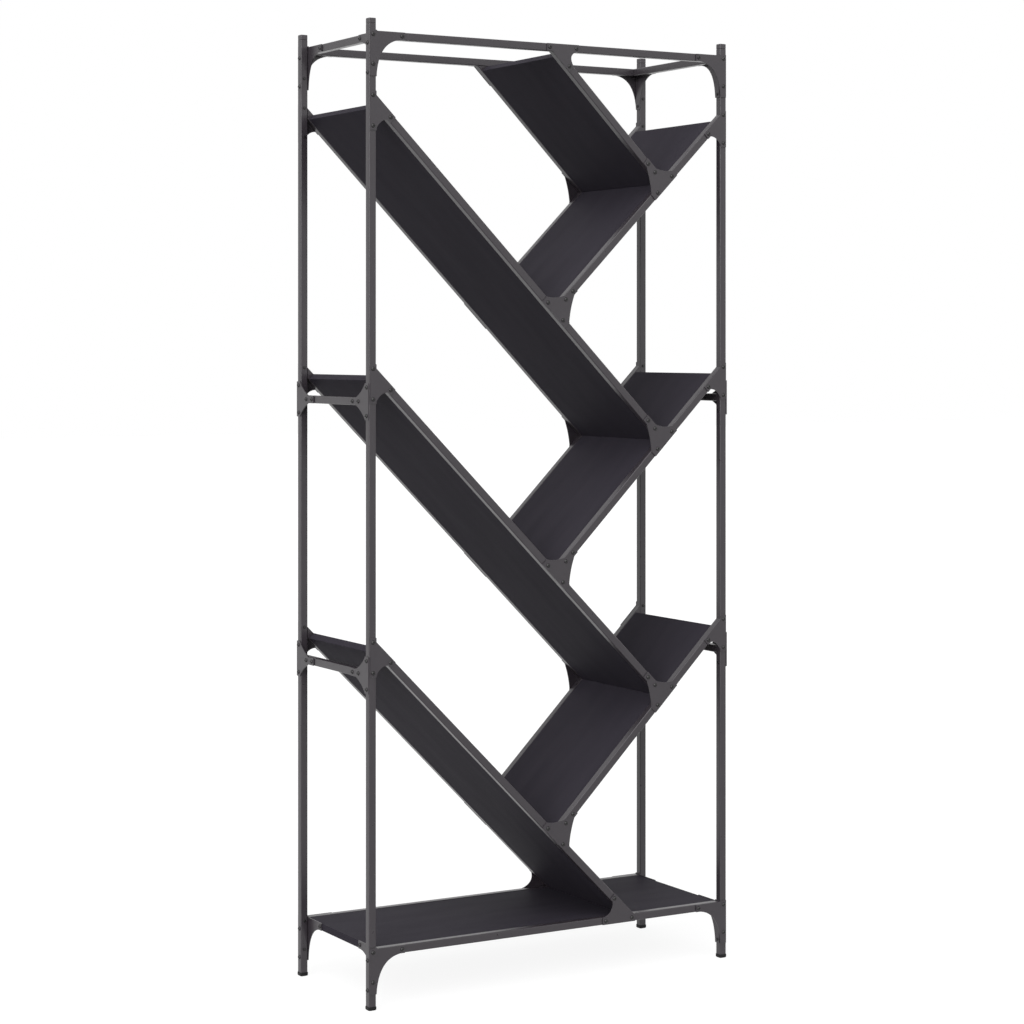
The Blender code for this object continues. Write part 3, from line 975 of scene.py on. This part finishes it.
def make_lamp(name, side, level, spread_angle):
    """Soft even light from a side. At level 1 it lights a white face fully."""
    lamp = bpy.data.lights.new(name, "SUN")
    lamp.angle = spread_angle
    lamp.energy = level * pi
    thing = bpy.data.objects.new(name, lamp)
    bpy.context.scene.collection.objects.link(thing)
    thing.location = side
    thing.rotation_euler = Vector(side).to_track_quat("Z", "Y").to_euler()


def background_rays(tree):
    """1 for what the camera sees, also in a reflection or through glass."""
    rays = tree.nodes.new("ShaderNodeLightPath")
    total = rays.outputs["Is Camera Ray"]
    for output in ("Is Glossy Ray", "Is Transmission Ray"):
        either = tree.nodes.new("ShaderNodeMath")
        either.operation = "MAXIMUM"
        tree.links.new(total, either.inputs[0])
        tree.links.new(rays.outputs[output], either.inputs[1])
        total = either.outputs[0]
    return total


def make_world():
    """White for the camera and in reflections, and soft light otherwise."""
    world = bpy.data.worlds.new("studio")
    bpy.context.scene.world = world
    world.use_nodes = True
    tree = world.node_tree
    soft = tree.nodes["Background"]
    soft.inputs["Color"].default_value = (1, 1, 1, 1)
    soft.inputs["Strength"].default_value = world_light
    seen = tree.nodes.new("ShaderNodeBackground")
    seen.inputs["Color"].default_value = (1, 1, 1, 1)
    seen.inputs["Strength"].default_value = 1
    mix = tree.nodes.new("ShaderNodeMixShader")
    tree.links.new(background_rays(tree), mix.inputs[0])
    tree.links.new(soft.outputs[0], mix.inputs[1])
    tree.links.new(seen.outputs[0], mix.inputs[2])
    tree.links.new(mix.outputs[0], tree.nodes["World Output"].inputs["Surface"])


def make_floor():
    bm = bmesh.new()
    bmesh.ops.create_grid(bm, x_segments=floor_cuts, y_segments=floor_cuts, size=floor_half)
    floor = new_object("floor", bm)
    material, tree, shader = new_material("floor_paper")
    grain = noise(tree, place_of(tree), *floor_noise)
    tone = blend_colours(tree, grain, *floor_tones)
    tree.links.new(tone, shader.inputs["Base Color"])
    shader.inputs["Roughness"].default_value = floor_roughness
    shader.inputs["Specular IOR Level"].default_value = floor_specular
    lift = tree.nodes.new("ShaderNodeMath")
    lift.operation = "MULTIPLY"
    lift.inputs[1].default_value = floor_lift
    tree.links.new(background_rays(tree), lift.inputs[0])
    shader.inputs["Emission Color"].default_value = (1, 1, 1, 1)
    tree.links.new(lift.outputs[0], shader.inputs["Emission Strength"])
    floor.data.materials.append(material)


# Lamps: name, the side that they shine from, level and spread
lamps = (
    ("key", (-3.0, -1.5, 3.6), 0.52, radians(60)),
    ("left_fill", (-4.0, -3.0, 0.1), 0.8, radians(50)),
    ("front_fill", (-0.3, -1.0, 0.9), 0.35, radians(60)),
    ("right_fill", (2.5, -4.2, 0.2), 0.22, radians(80)),
)

end_drawings = front_rail_plates()
joint_drawings = joint_plates()
side_tees = {height: both_hands(side_tee_plate(height)) for height in side_levels}
side_tops = both_hands(side_corner_plate(top_z, in_wall))
side_legs = both_hands(side_corner_plate(bottom_z, board_bite))
make_posts()
make_front_rails(end_drawings, joint_drawings)
make_side_rails(side_tops, side_tees, side_legs)
make_boards()
make_camera()
make_world()
make_floor()
for lamp in lamps:
    make_lamp(*lamp)
bpy.context.scene.view_settings.view_transform = "Standard"
